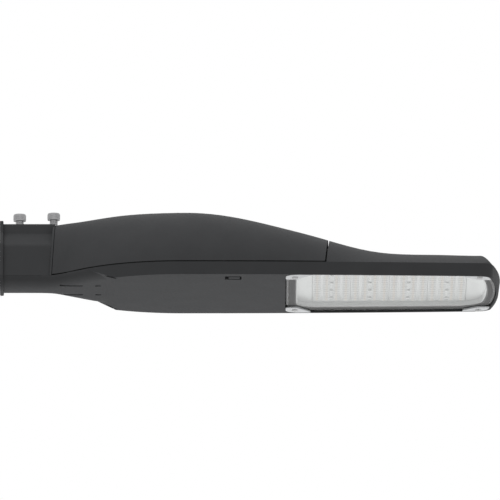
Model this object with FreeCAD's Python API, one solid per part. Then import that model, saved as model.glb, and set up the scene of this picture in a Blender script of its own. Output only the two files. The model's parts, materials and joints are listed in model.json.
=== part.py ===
"""LED road luminaire with a hinged gear cover, for a 60 mm pole end.

Millimetres. The origin is the centre of the socket mouth. +X runs along the
socket to the light end, +Z is up.
"""
import FreeCAD
import Part
import math
import os

from FreeCAD import Vector

# Pole socket and the sleeve round it
POLE_R = 30.0
BORE_CLEARANCE = 0.4
BORE_DEPTH = 92.0
END_WALL = 5.0
BARREL_WALL = 3.6
NECK_SIDE_WALL = 15.3
WAIST_WALL = 14.1
PAD_WALL = 10.5
BELLY_WALL = 11.6
SHOULDER_LOW_Z = 9.6
PAD_HALF = 27.3
SHOULDER_ROUND = 6.0
PAD_ROOT_ROUND = 4.0
PAD_EDGE_ROUND = 2.5
COLLAR_GROW = 3.6
COLLAR_WIDTH = 4.9
COLLAR_ROUND = 1.2
BORE_R = POLE_R + BORE_CLEARANCE
BARREL_R = BORE_R + BARREL_WALL
BARREL_END_X = BORE_DEPTH + END_WALL
NECK_HALF = BORE_R + NECK_SIDE_WALL
WAIST_HALF = BORE_R + WAIST_WALL
PAD_TOP_Z = BORE_R + PAD_WALL

# Levels of the body
BELLY_DROP = 11.0
BELLY_RUN = 39.0
NECK_SECTIONS = 9
TUB_STEP = 4.5
PARTING_STEP = 0.5
SEAM_GAP = 1.5
WALL = 3.5
FAR = 1000.0
BELLY_Z = -BORE_R - BELLY_WALL
PARTING_Z = BELLY_Z + BELLY_DROP
UNDERSIDE_Z = BELLY_Z - TUB_STEP

# Pole clamp screws, M10 socket heads
FIRST_SCREW_X = 25.7
SCREW_HEAD_RISE = (17.5, 18.8)
SCREW_R = 5.0
SCREW_HEAD_R = 8.0
SCREW_HEAD_H = 9.0
SCREW_HEAD_ROUND = 1.2
SCREW_SOCKET_R = 4.6
SCREW_SOCKET_DEPTH = 5.0
SCREW_TIP_GAP = 0.5

# Rear edge of the gear cover and its hinge
COVER_REAR_X = 73.6
COVER_REAR_LEAN = 3.7
COVER_REAR_GAP = 1.6
REAR_RIM_WIDTH = 2.5
SECOND_SCREW_BEHIND = 3.7
KNUCKLE_BEHIND = 6.6
HINGE_AHEAD = 5.3
HINGE_DROP = 3.7
HINGE_PIN_R = 1.5
HINGE_PIN_INNER_Y = 6.5
HINGE_PIN_OUTER_Y = 22.0
HINGE_RUNNING_GAP = 0.1
HINGE_BOSS_R = 4.0
HINGE_BOSS_INNER_Y = 12.4
TONGUE_HALF = 12.5
NOTCH_GAP = 0.8
NOTCH_LEAD = 3.0
SCREW_X = (FIRST_SCREW_X, COVER_REAR_X - SECOND_SCREW_BEHIND)
HINGE_X = COVER_REAR_X + HINGE_AHEAD
KNUCKLE_X = HINGE_X - KNUCKLE_BEHIND
HINGE_Z = PAD_TOP_Z - HINGE_DROP

# Places along the body, from the tub to the front
TUB_REAR_X = 134.5
RAMP_END_AHEAD = 15.5
RAMP_SLOPE = 21.0
BELLY_LAP = 2.0
GEAR_TRAY_SETBACK = 15.5
DRIVER_SETBACK = 32.0
DRIVER_LENGTH = 150.0
GEAR_TRAY_TAIL = 23.0
GEAR_END_GAP = 11.0
GEAR_WALL = 5.0
RECESS_BORDER = 14.0
LENS_BORDER = 21.0
LENS_PITCH = 50.0
LENS_COUNT = 4
LENS_TO_FRONT = 44.0
COVER_OVERLAP = 55.8
GEAR_TRAY_REAR_X = TUB_REAR_X + GEAR_TRAY_SETBACK
DRIVER_REAR_X = GEAR_TRAY_REAR_X + DRIVER_SETBACK
GEAR_TRAY_FRONT_X = DRIVER_REAR_X + DRIVER_LENGTH + GEAR_TRAY_TAIL
GEAR_FRONT_X = GEAR_TRAY_FRONT_X + GEAR_END_GAP
RECESS_REAR_X = GEAR_FRONT_X + GEAR_WALL
TRAY_REAR_X = RECESS_REAR_X + RECESS_BORDER
LENS_REAR_X = TRAY_REAR_X + LENS_BORDER
LENS_FRONT_X = LENS_REAR_X + LENS_PITCH * LENS_COUNT
LENGTH = LENS_FRONT_X + LENS_TO_FRONT
COVER_FRONT_X = RECESS_REAR_X + COVER_OVERLAP

# Widths, from the lens field outward
LENS_HALF = 100.0
LENS_EDGE = 4.5
TRAY_SIDE_INSET = 26.0
SIDE_TAPER = 11.8
WIDEST_HALF = LENS_HALF + LENS_EDGE + TRAY_SIDE_INSET + SIDE_TAPER

# Plan outline at the parting plane
NECK_START_X = 53.5
NECK_R = 36.0
FLARE_ANGLE = math.radians(46.0)
SHOULDER_R = 175.0
BOW_R = 650.0
CORNER_R = 20.0
SKIRT_DRAFT_SIDE = 7.0
SKIRT_DRAFT_FRONT = 2.2
FLARE_START_X = NECK_START_X + NECK_R * math.sin(FLARE_ANGLE)
FLARE_START_HALF = NECK_HALF + NECK_R * (1.0 - math.cos(FLARE_ANGLE))
FLARE_END_HALF = WIDEST_HALF - SHOULDER_R * (1.0 - math.cos(FLARE_ANGLE))
FLARE_END_X = FLARE_START_X + (FLARE_END_HALF - FLARE_START_HALF) / math.tan(FLARE_ANGLE)
SHOULDER_TOP_X = FLARE_END_X + SHOULDER_R * math.sin(FLARE_ANGLE)
SIDE_R = ((LENS_FRONT_X - SHOULDER_TOP_X) ** 2 + SIDE_TAPER ** 2) / (2.0 * SIDE_TAPER)
BOW_CENTRE_X = LENGTH - BOW_R

# Crown line of the canopy: place along the body and height
CROWN = (
    (50.0, PAD_TOP_Z - 7.9),
    (60.0, PAD_TOP_Z - 2.4),
    (72.0, PAD_TOP_Z + 0.5),
    (104.0, PAD_TOP_Z + 3.5),
    (156.0, PAD_TOP_Z + 11.4),
    (220.0, PAD_TOP_Z + 15.3),
    (260.0, PAD_TOP_Z + 15.0),
    (COVER_FRONT_X - 114.8, PAD_TOP_Z + 7.8),
    (COVER_FRONT_X - 62.8, PAD_TOP_Z - 5.0),
    (COVER_FRONT_X - 10.8, PAD_TOP_Z - 19.0),
    (COVER_FRONT_X + 15.2, PAD_TOP_Z - 26.7),
    (COVER_FRONT_X + 41.2, PAD_TOP_Z - 33.5),
    (COVER_FRONT_X + 67.2, PAD_TOP_Z - 38.2),
    (COVER_FRONT_X + 93.2, PAD_TOP_Z - 40.4),
    (LENGTH - 78.0, PAD_TOP_Z - 41.3),
    (LENGTH - 20.0, PAD_TOP_Z - 42.1),
    (LENGTH + 12.0, PAD_TOP_Z - 42.6),
)
ELLIPSE_HANDLE = 0.5523
SQUARE_EXTRA = 0.25
SQUARE_END_X = 72.0
ROUND_START_X = 190.0
ARCH_END_X = COVER_FRONT_X - 85.0
RIDGE_START_X = COVER_FRONT_X + 95.0
BURIED_INSET = 4.7

# Front edge of the gear cover and the front of the hood
COVER_FRONT_DROP = 23.0
COVER_FRONT_LEAN = 5.7
COVER_FRONT_GAP = 1.9
COVER_SKIN_CROWN = 3.2
FRONT_SLOPE = math.radians(50.0)
FRONT_HEIGHT = 60.0
HOOD_EDGE_R = 6.5
COVER_FRONT_Z = PAD_TOP_Z - COVER_FRONT_DROP

# Hollows of the casting
FLOOR_T = 3.5
RIM_WIDTH = 12.5
NECK_WALL = 5.0
WEB_T = 4.0
BULKHEAD_BEHIND = 5.2
BULKHEAD_T = 11.5
BULKHEAD_INSET = 14.0
BULKHEAD_DROP = 12.0
HOOD_WALL = 4.5
HOOD_RIB_PITCH = 44.0
HOOD_RIB_T = 4.0
FLOOR_Z = UNDERSIDE_Z + FLOOR_T
BULKHEAD_X = COVER_FRONT_X - BULKHEAD_BEHIND
HOOD_CAVITY_X = BULKHEAD_X + BULKHEAD_T
HOOD_RIB_Y = tuple(HOOD_RIB_PITCH * i for i in (-2, -1, 0, 1, 2))

# Cover gasket, a strip under the edge of the cover
GASKET_OUT = 2.2
GASKET_IN = 3.4
GASKET_AHEAD = 14.8
GASKET_BEHIND = 7.2

# Latch window and slider in the floor
LATCH_BEHIND = 57.0
LATCH_LENGTH = 21.3
LATCH_WIDTH = 21.5
LATCH_INSET = 23.0
LATCH_TRAVEL = 4.8
LATCH_GAP = 0.8
LATCH_FLANGE = 3.0
LATCH_FLANGE_T = 2.0
LATCH_POST = (9.0, 8.0, 12.0)
CATCH_GAP = 0.5
CATCH_LEG = (4.0, 12.0)
CATCH_RISE = 1.0
LATCH_FRONT_X = RECESS_REAR_X - LATCH_BEHIND

# Slits and corner pockets of the underside
SLIT_Y = 30.5
SLIT_WIDTH = 6.0
SLIT_DEPTH = 2.5
SLIT_LONG_X = (78.0, 108.0)
SLIT_SHORT_X = (124.0, 131.5)
POCKET_X = (5.0, 14.0)
POCKET_INSET = 5.0
POCKET_R = 4.0
POCKET_DEPTH = 5.0

# Light recess, glass and its corner clamps
RIM_INSET = 3.0
RECESS_CORNER_R = 15.0
RECESS_REAR_R = 16.0
GLASS_GAP = 1.2
GLASS_T = 4.0
GLASS_BEVEL = (2.8, 1.0)
GLASS_FRONT_R = 28.0
CLAMP_T = 1.8
CLAMP_GAP = 0.5
SEAL_T = 1.2
SEAL_EDGE = 1.5
REAR_CLAMP_RUN = (33.0, 33.0)
REAR_CLAMP_BODY = 15.0
FRONT_CLAMP_BEHIND = 47.5
FRONT_CLAMP_BODY = 28.0
FRONT_CLAMP_TIP = 6.0
CLAMP_TIP_WIDTH = 6.0
CLAMP_ROUND = 4.0
REAR_SCREW_AHEAD = 12.4
REAR_SCREW_INSET = 28.4
FRONT_SCREW_BEHIND = 27.5
FRONT_SCREW_INSET = 17.5
CLAMP_SCREW_R = 2.0
CLAMP_SCREW_HEAD_R = 3.6
CLAMP_SCREW_HEAD_H = 1.4
CLAMP_SCREW_LENGTH = 16.0
CLAMP_SCREW_GAP = 0.4
GLASS_CORNER_CLEAR = 5.0
GLASS_LOW_Z = UNDERSIDE_Z + CLAMP_T
GLASS_TOP_Z = GLASS_LOW_Z + GLASS_T
LEDGE_Z = GLASS_TOP_Z + SEAL_T

# White reflector tray and the light engine behind it
TRAY_FRONT_INSET = 17.0
TRAY_CORNER_R = 34.0
TRAY_REAR_R = 22.0
TRAY_GAP = 0.4
TRAY_DEPTH = 7.6
TRAY_T = 1.2
LENS_GAP = 0.4
LENS_T = 2.0
BOARD_T = 1.6
SPREADER_T = 4.0
SPREADER_INSET = 4.0
LENS_SCREW_R = 1.5
LENS_SCREW_HEAD_R = 2.8
LENS_SCREW_HEAD_H = 1.4
SPREADER_SCREW_AHEAD = 12.0
SPREADER_SCREW_INSET = 40.0
SPREADER_SCREW_R = 2.0
SPREADER_SCREW_HEAD_R = 3.5
SPREADER_SCREW_HEAD_H = 1.5
SPREADER_SCREW_GRIP = 2.5
BOARD_LOW_Z = LEDGE_Z + TRAY_DEPTH
SPREADER_LOW_Z = BOARD_LOW_Z + BOARD_T
WEB_LOW_Z = SPREADER_LOW_Z + SPREADER_T
WEB_TOP_Z = WEB_LOW_Z + WEB_T

# Gear tray and what it carries
GEAR_TRAY_T = 1.5
GEAR_TRAY_CLEAR = 3.5
TRAY_BOSS_H = 2.0
TRAY_BOSS_R = 5.0
TRAY_BOSS_EDGE = 10.0
GEAR_SCREW_R = 2.0
GEAR_SCREW_HEAD_R = 3.6
GEAR_SCREW_HEAD_H = 2.2
GEAR_SCREW_FLOOR = 1.5
DRIVER_WIDTH = 78.0
DRIVER_H = 36.0
DRIVER_EAR = 10.0
DRIVER_EAR_T = 3.0
DRIVER_ROUND = 3.0
SURGE_AHEAD = 98.0
SURGE_SIZE = (60.0, 38.0, 26.0)
TERMINAL_AHEAD = 20.0
TERMINAL_SIZE = (52.0, 36.0, 22.0)
TERMINAL_WAYS = 5
TERMINAL_SCREW_R = 2.4
TERMINAL_WELL = 8.0
GEAR_EDGE = 13.0
GEAR_Z = FLOOR_Z + TRAY_BOSS_H + GEAR_TRAY_T

# Cable entry
CABLE_R = 6.0
CABLE_DROP = 14.0
CLAMP_BLOCK_AHEAD = 15.0
CLAMP_BLOCK_SIZE = (16.0, 36.0, 22.0)
CLAMP_BAR_T = 5.0
CLAMP_BAR_SCREW_Y = 12.5
GROMMET_LIP = 3.0
GROMMET_LIP_T = 2.0
CABLE_Z = -CABLE_DROP
CLAMP_BLOCK_X = (
    BARREL_END_X + CLAMP_BLOCK_AHEAD,
    BARREL_END_X + CLAMP_BLOCK_AHEAD + CLAMP_BLOCK_SIZE[0],
)
CLAMP_BLOCK_Y = (-CLAMP_BLOCK_SIZE[1] / 2, CLAMP_BLOCK_SIZE[1] / 2)
CLAMP_SEAT_Z = CABLE_Z - CLAMP_BLOCK_SIZE[2] / 2


# General helpers

def box(x, y, z):
    """Block between two values on each axis."""
    block = Part.makeBox(x[1] - x[0], y[1] - y[0], z[1] - z[0])
    block.translate(Vector(x[0], y[0], z[0]))
    return block


def upright(x, y, z_low, z_high, radius):
    """Vertical cylinder."""
    return Part.makeCylinder(radius, z_high - z_low, Vector(x, y, z_low))


def crosswise(x, z, y_low, y_high, radius):
    """Cylinder along Y."""
    return Part.makeCylinder(radius, y_high - y_low, Vector(x, y_low, z), Vector(0, 1, 0))


def lengthwise(x_low, x_high, z, radius):
    """Cylinder along X on the centre plane."""
    return Part.makeCylinder(radius, x_high - x_low, Vector(x_low, 0, z), Vector(1, 0, 0))


def between_x(low, high):
    """Wide slab between two places along the body."""
    return box((low, high), (-FAR, FAR), (-FAR, FAR))


def ahead_of(x, z, lean):
    """Half space ahead of a plane through x and z whose top leans forward."""
    slab = box((x, FAR), (-FAR, FAR), (z - FAR, z + FAR))
    slab.rotate(Vector(x, 0, z), Vector(0, 1, 0), lean)
    return slab


def mirrored(shape):
    """Copy on the other side of the centre plane."""
    return shape.mirror(Vector(0, 0, 0), Vector(0, 1, 0))


def fused(shapes):
    """Union of shapes, taken one after another."""
    whole = shapes[0]
    for shape in shapes[1:]:
        whole = whole.fuse(shape)
    return whole


def joined(shapes):
    """One solid of touching shapes, without inner seams."""
    return fused(shapes).removeSplitter()


def smooth_step(value, low, high):
    """Eased change from 0 at low to 1 at high."""
    t = min(1.0, max(0.0, (value - low) / (high - low)))
    return t * t * (3.0 - 2.0 * t)


def rounded(shape, radius, chosen):
    """Fillet on the edges that a test picks."""
    return shape.makeFillet(radius, [edge for edge in shape.Edges if chosen(edge)])


def is_upright(edge):
    """True for a straight edge along Z."""
    box_of = edge.BoundBox
    return box_of.XLength < 0.01 and box_of.YLength < 0.01


# Plan outline

def half_width(x):
    """Half width of the body at the parting plane."""
    if x < FLARE_START_X:
        run = max(0.0, x - NECK_START_X)
        return NECK_HALF + NECK_R - math.sqrt(NECK_R ** 2 - run ** 2)
    if x < FLARE_END_X:
        return FLARE_START_HALF + (x - FLARE_START_X) * math.tan(FLARE_ANGLE)
    radius = SHOULDER_R if x < SHOULDER_TOP_X else SIDE_R
    run = x - SHOULDER_TOP_X
    return WIDEST_HALF - radius + math.sqrt(radius ** 2 - run ** 2)


def arc(centre, start, end):
    """Shorter arc about a centre between two points."""
    middle = (start - centre) + (end - centre)
    middle.normalize()
    top = centre + middle * (start - centre).Length
    return Part.Arc(start, top, end).toShape()


def corner_centre(side_centre, side_r, bow_centre, bow_r):
    """Point at two given distances from two centres, on the +Y side."""
    gap = bow_centre - side_centre
    along = (side_r ** 2 - bow_r ** 2 + gap.Length ** 2) / (2.0 * gap.Length)
    across = math.sqrt(side_r ** 2 - along ** 2)
    unit = Vector(gap.x, gap.y, 0.0)
    unit.normalize()
    return side_centre + unit * along + Vector(unit.y, -unit.x, 0.0) * across


def outline(side_inset, front_inset, corner_r, z):
    """Closed plan outline from the neck to the front, drawn inward by the insets."""
    neck_r = NECK_R + side_inset
    sin_flare = math.sin(FLARE_ANGLE)
    cos_flare = math.cos(FLARE_ANGLE)
    neck_centre = Vector(NECK_START_X, NECK_HALF + NECK_R, 0)
    shoulder_centre = Vector(SHOULDER_TOP_X, WIDEST_HALF - SHOULDER_R, 0)
    side_centre = Vector(SHOULDER_TOP_X, WIDEST_HALF - SIDE_R, 0)
    bow_centre = Vector(BOW_CENTRE_X, 0, 0)
    side_r = SIDE_R - side_inset
    bow_r = BOW_R - front_inset
    corner = corner_centre(side_centre, side_r - corner_r, bow_centre, bow_r - corner_r)
    start = neck_centre + Vector(0, -neck_r, 0)
    flare_start = neck_centre + Vector(sin_flare, -cos_flare, 0) * neck_r
    flare_end = shoulder_centre + Vector(-sin_flare, cos_flare, 0) * (SHOULDER_R - side_inset)
    shoulder_end = shoulder_centre + Vector(0, SHOULDER_R - side_inset, 0)
    side_end = corner + (corner - side_centre).normalize() * corner_r
    bow_start = corner + (corner - bow_centre).normalize() * corner_r
    half = [
        arc(neck_centre, start, flare_start),
        Part.makeLine(flare_start, flare_end),
        arc(shoulder_centre, flare_end, shoulder_end),
        arc(side_centre, shoulder_end, side_end),
        arc(corner, side_end, bow_start),
    ]
    other = [mirrored(edge) for edge in reversed(half)]
    bow_end = Vector(bow_start.x, -bow_start.y, 0)
    bow = Part.Arc(bow_start, bow_centre + Vector(bow_r, 0, 0), bow_end).toShape()
    rear = Part.makeLine(Vector(start.x, -start.y, 0), start)
    wire = Part.Wire(half + [bow] + other + [rear])
    wire.translate(Vector(0, 0, z))
    return wire


def plan_prism(side_inset, front_inset, corner_r, z_low, z_high):
    """Upright prism on the inset plan outline."""
    face = Part.Face(outline(side_inset, front_inset, corner_r, z_low))
    return face.extrude(Vector(0, 0, z_high - z_low))


# Canopy envelope shared by the gear cover and the front hood

def arch_wire(x, half, crown, base):
    """Closed arch across the body: square at the neck, round at the hump, a low ridge in front."""
    square = 1.0 - smooth_step(x, SQUARE_END_X, ROUND_START_X)
    ridge = smooth_step(x, ARCH_END_X, RIDGE_START_X)
    rise = crown - base
    lean = half * ridge / 3.0
    side = ELLIPSE_HANDLE + SQUARE_EXTRA * square + (2.0 / 3.0 - ELLIPSE_HANDLE) * ridge
    top = ELLIPSE_HANDLE + SQUARE_EXTRA * square + (1.0 / 3.0 - ELLIPSE_HANDLE) * ridge
    curve = Part.BezierCurve()
    curve.setPoles([
        Vector(x, half, base),
        Vector(x, half - lean, base + side * rise),
        Vector(x, half * top, crown),
        Vector(x, 0, crown),
    ])
    right = curve.toShape()
    foot = Part.makeLine(Vector(x, -half, base), Vector(x, half, base))
    return Part.Wire([right, mirrored(right), foot])


def canopy(side_inset, crown_drop, base):
    """Solid under the canopy surface, drawn inward by the insets."""
    wires = []
    for x, crown in CROWN:
        half = half_width(x) if x > NECK_START_X else NECK_HALF - BURIED_INSET
        wires.append(arch_wire(x, half - side_inset, crown - crown_drop, base))
    return Part.makeLoft(wires, True, False)


def front_block(front_inset):
    """Prism with the bowed front that leans back above the parting plane."""
    setback = FRONT_HEIGHT / math.tan(FRONT_SLOPE)
    low = outline(0.0, front_inset, CORNER_R, PARTING_Z)
    high = outline(0.0, front_inset + setback, CORNER_R, PARTING_Z + FRONT_HEIGHT)
    return Part.makeLoft([low, high], True, True)


def hood_outside():
    """Solid of the fixed front hood."""
    ahead = ahead_of(COVER_FRONT_X + COVER_FRONT_GAP, COVER_FRONT_Z, COVER_FRONT_LEAN)
    hood = canopy(PARTING_STEP, 0.0, PARTING_Z).common(ahead).common(front_block(PARTING_STEP))
    return rounded(hood, HOOD_EDGE_R, is_front_crease)


def is_front_crease(edge):
    """True for the edge between the top of the hood and its leaning front."""
    box_of = edge.BoundBox
    ahead = box_of.XMin > LENGTH - FRONT_HEIGHT
    return ahead and box_of.ZMin > PARTING_Z + PARTING_STEP and box_of.YLength > 2.0 * CORNER_R


def hood_cavity():
    """Hollow of the hood, open below, with ribs left standing."""
    hollow = canopy(HOOD_WALL, HOOD_WALL, PARTING_Z).common(front_block(HOOD_WALL))
    hollow = hollow.common(box((HOOD_CAVITY_X, FAR), (-FAR, FAR), (WEB_LOW_Z, FAR)))
    within = light_opening(0.0, PARTING_Z, PARTING_Z + FRONT_HEIGHT)
    ribs = [box((0, FAR), (y - HOOD_RIB_T / 2, y + HOOD_RIB_T / 2), (-FAR, FAR)) for y in HOOD_RIB_Y]
    return hollow.common(within).cut(Part.makeCompound(ribs))


# Housing casting

def sleeve_top(x_high, grow):
    """Upper half of the sleeve: straight sides, sloped shoulders and a raised pad."""
    slope = grow * (math.sqrt(2.0) - 1.0)
    pad_foot = SHOULDER_LOW_Z + WAIST_HALF - PAD_HALF
    half = [
        Vector(0, NECK_HALF + grow, PARTING_Z),
        Vector(0, WAIST_HALF + grow, SHOULDER_LOW_Z + slope),
        Vector(0, PAD_HALF + grow, pad_foot + slope),
        Vector(0, PAD_HALF + grow, PAD_TOP_Z + grow),
    ]
    other = [Vector(0, -p.y, p.z) for p in reversed(half)]
    prism = Part.Face(Part.makePolygon(half + other + [half[0]])).extrude(Vector(x_high, 0, 0))
    for radius, corner in (
        (SHOULDER_ROUND, half[1]),
        (PAD_ROOT_ROUND, half[2]),
        (PAD_EDGE_ROUND, half[3]),
    ):
        prism = rounded(prism, radius, lambda e: runs_along_x(e, corner))
    return prism


def runs_along_x(edge, corner):
    """True for a lengthwise edge through a corner of the section or its mirror image."""
    centre = edge.BoundBox.Center
    beside = abs(abs(centre.y) - corner.y) < 0.1 and abs(centre.z - corner.z) < 0.1
    return beside and edge.BoundBox.YLength < 0.01


def belly_wire(x, half, grow):
    """Closed section below the parting plane: flat bottom with long rounded corners."""
    bottom = BELLY_Z - grow
    drop = PARTING_Z - bottom
    inner = half - BELLY_RUN
    curve = Part.BezierCurve()
    curve.setPoles([
        Vector(x, half, PARTING_Z),
        Vector(x, half, PARTING_Z - ELLIPSE_HANDLE * drop),
        Vector(x, inner + ELLIPSE_HANDLE * BELLY_RUN, bottom),
        Vector(x, inner, bottom),
    ])
    right = curve.toShape()
    foot = Part.makeLine(Vector(x, inner, bottom), Vector(x, -inner, bottom))
    lid = Part.makeLine(Vector(x, -half, PARTING_Z), Vector(x, half, PARTING_Z))
    return Part.Wire([right, foot, mirrored(right), lid])


def sleeve_bottom(x_high, grow):
    """Lower half of the sleeve."""
    face = Part.Face(belly_wire(0.0, NECK_HALF - PARTING_STEP + grow, grow))
    return face.extrude(Vector(x_high, 0, 0))


def neck_belly(inset, x_high):
    """Underside of the neck as it widens into the tub."""
    step = (x_high - NECK_START_X) / NECK_SECTIONS
    places = [NECK_START_X + step * i for i in range(NECK_SECTIONS + 1)]
    wires = [belly_wire(x, half_width(x) - PARTING_STEP - inset, -inset) for x in places]
    return Part.makeLoft(wires, True, False)


def collar():
    """Bead round the socket mouth, with rounded rims."""
    bead = joined([sleeve_top(COLLAR_WIDTH, COLLAR_GROW), sleeve_bottom(COLLAR_WIDTH, COLLAR_GROW)])
    return rounded(bead, COLLAR_ROUND, lambda e: e.BoundBox.XLength < 0.01)


def tub():
    """Shallow drafted tray with a flat underside."""
    top = outline(0.0, 0.0, CORNER_R, PARTING_Z)
    bottom = outline(SKIRT_DRAFT_SIDE, SKIRT_DRAFT_FRONT, CORNER_R, UNDERSIDE_Z)
    solid = Part.makeLoft([top, bottom], True, True)
    return solid.common(tub_space(0.0))


def tub_space(lap):
    """Half space above the long ramp that leads from the neck down to the tub."""
    return ahead_of(TUB_REAR_X + RAMP_END_AHEAD + lap, UNDERSIDE_Z, RAMP_SLOPE - 90.0)


def rear_rim():
    """Narrow rim of the sleeve that meets the rear edge of the cover."""
    front_x = COVER_REAR_X - COVER_REAR_GAP
    rim = canopy(PARTING_STEP, 0.0, PARTING_Z)
    rim = rim.common(ahead_of(front_x - REAR_RIM_WIDTH, PAD_TOP_Z, COVER_REAR_LEAN))
    return rim.cut(ahead_of(front_x, PAD_TOP_Z, COVER_REAR_LEAN))


def tongue():
    """Boss of the inner clamp screw, which is also the middle hinge knuckle."""
    block = box((BARREL_R, KNUCKLE_X), (-TONGUE_HALF, TONGUE_HALF), (0.0, PAD_TOP_Z))
    return joined([block, upright(KNUCKLE_X, 0.0, 0.0, PAD_TOP_Z, TONGUE_HALF)])


def gear_cavity():
    """Hollow of the tub and neck below the cover."""
    tub_hollow = plan_prism(RIM_WIDTH, RIM_WIDTH, CORNER_R, FLOOR_Z, PARTING_Z)
    tub_hollow = tub_hollow.common(between_x(TUB_REAR_X + RIM_WIDTH, GEAR_FRONT_X))
    neck_hollow = neck_belly(NECK_WALL, TUB_REAR_X + 2.0 * RIM_WIDTH)
    neck_hollow = neck_hollow.common(between_x(BARREL_END_X, FAR))
    return tub_hollow.fuse(neck_hollow)


def light_opening(inset, z_low, z_high):
    """Upright prism of the reflector opening, drawn inward by an inset."""
    side = TRAY_SIDE_INSET + inset
    front = TRAY_FRONT_INSET + inset
    prism = plan_prism(side, front, TRAY_CORNER_R - inset, z_low, z_high)
    return rear_rounded(prism, TRAY_REAR_X + inset, TRAY_REAR_R - inset)


def rear_rounded(prism, rear_x, radius):
    """Prism cut off across its rear, with the two rear corners rounded."""
    rest = prism.common(between_x(rear_x, FAR))
    return rounded(rest, radius, lambda e: is_upright(e) and e.BoundBox.XMin < rear_x + 0.01)


def recess(inset, z_low, z_high):
    """Upright prism of the glass recess, drawn inward by an inset."""
    side = SKIRT_DRAFT_SIDE + RIM_INSET + inset
    front = SKIRT_DRAFT_FRONT + RIM_INSET + inset
    prism = plan_prism(side, front, RECESS_CORNER_R - inset, z_low, z_high)
    return rear_rounded(prism, RECESS_REAR_X + inset, RECESS_REAR_R - inset)


def web_and_bulkhead():
    """Roof over the rear of the light opening and the wall below the front gap."""
    roof = plan_prism(BULKHEAD_INSET, BULKHEAD_INSET, CORNER_R, PARTING_Z, WEB_TOP_Z)
    roof = roof.common(between_x(GEAR_FRONT_X, BULKHEAD_X + BULKHEAD_T))
    wall = canopy(BULKHEAD_INSET, BULKHEAD_DROP, PARTING_Z)
    wall = wall.common(between_x(BULKHEAD_X, BULKHEAD_X + BULKHEAD_T))
    return roof.fuse(wall)


def underside_slits():
    """Blind slits in the neck underside."""
    slits = []
    for low, high in (SLIT_LONG_X, SLIT_SHORT_X):
        for y in (-SLIT_Y, SLIT_Y):
            edges = (y - SLIT_WIDTH / 2, y + SLIT_WIDTH / 2)
            slits.append(box((low, high), edges, (-FAR, BELLY_Z + SLIT_DEPTH)))
    return Part.makeCompound(slits)


def corner_pockets():
    """Narrow blind slots where the edges of the underside begin."""
    ends = []
    for ahead in POCKET_X:
        x = TUB_REAR_X + ahead
        y = half_width(x) - SKIRT_DRAFT_SIDE - POCKET_INSET
        ends.append(Vector(x, y, UNDERSIDE_Z - 1.0))
    side = (ends[1] - ends[0]).normalize().cross(Vector(0, 0, POCKET_R))
    corners = [ends[0] + side, ends[1] + side, ends[1] - side, ends[0] - side]
    high = UNDERSIDE_Z + POCKET_DEPTH
    middle = Part.Face(Part.makePolygon(corners + [corners[0]])).extrude(Vector(0, 0, high - ends[0].z))
    pocket = fused([middle] + [upright(p.x, p.y, p.z, high, POCKET_R) for p in ends])
    return Part.makeCompound([pocket, mirrored(pocket)])


def latch_window():
    """Ends of the latch window along X and across."""
    outer = half_width(LATCH_FRONT_X) - LATCH_INSET
    return (LATCH_FRONT_X - LATCH_LENGTH, LATCH_FRONT_X), (-outer, LATCH_WIDTH - outer)


def gear_tray_half():
    """Half width of the gear tray, which stops short of the latch."""
    return -latch_window()[1][1] - LATCH_FLANGE - GEAR_TRAY_CLEAR


def tray_boss_places():
    """Screw places of the gear tray."""
    y = gear_tray_half() - TRAY_BOSS_EDGE
    ends = (GEAR_TRAY_REAR_X + TRAY_BOSS_EDGE, GEAR_TRAY_FRONT_X - TRAY_BOSS_EDGE)
    return [(x, side) for x in ends for side in (-y, y)]


def clamp_screw_places():
    """Screw places of the rear and the front corner clamp, on the +Y side."""
    rear_x = RECESS_REAR_X + REAR_SCREW_AHEAD
    front_x = LENGTH - FRONT_SCREW_BEHIND
    return [
        (rear_x, half_width(rear_x) - REAR_SCREW_INSET),
        (front_x, half_width(front_x) - FRONT_SCREW_INSET),
    ]


def spreader_screw_places():
    """Screw places of the heat spreader, ahead of and behind the lens field."""
    y = LENS_HALF - SPREADER_SCREW_INSET
    ends = (LENS_REAR_X - SPREADER_SCREW_AHEAD, LENS_FRONT_X + SPREADER_SCREW_AHEAD)
    return [(x, side) for x in ends for side in (-y, y)]


def tray_bosses():
    """Low pads under the gear tray."""
    top = FLOOR_Z + TRAY_BOSS_H
    return [upright(x, y, FLOOR_Z - FLOOR_T / 2, top, TRAY_BOSS_R) for x, y in tray_boss_places()]


def housing_screw_holes():
    """Holes for every screw and pin that goes into the casting."""
    holes = [upright(x, 0.0, 0.0, FAR, SCREW_R) for x in SCREW_X]
    for x, y in tray_boss_places():
        holes.append(upright(x, y, UNDERSIDE_Z + GEAR_SCREW_FLOOR, FLOOR_Z + TRAY_BOSS_H, GEAR_SCREW_R))
    for x, y in clamp_screw_places():
        for side in (-y, y):
            top = UNDERSIDE_Z + CLAMP_SCREW_LENGTH
            holes.append(upright(x, side, UNDERSIDE_Z, top, CLAMP_SCREW_R))
    for x, y in spreader_screw_places():
        top = WEB_LOW_Z + SPREADER_SCREW_GRIP
        holes.append(upright(x, y, UNDERSIDE_Z, top, SPREADER_SCREW_R))
    holes.append(crosswise(HINGE_X, HINGE_Z, HINGE_PIN_INNER_Y, FAR, HINGE_PIN_R))
    holes.append(crosswise(HINGE_X, HINGE_Z, -FAR, -HINGE_PIN_INNER_Y, HINGE_PIN_R))
    return Part.makeCompound(holes)


def clamp_seat():
    """Pedestal of the cable clamp on the neck floor."""
    return box(CLAMP_BLOCK_X, CLAMP_BLOCK_Y, (BELLY_Z + NECK_WALL / 2, CLAMP_SEAT_Z))


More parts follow.
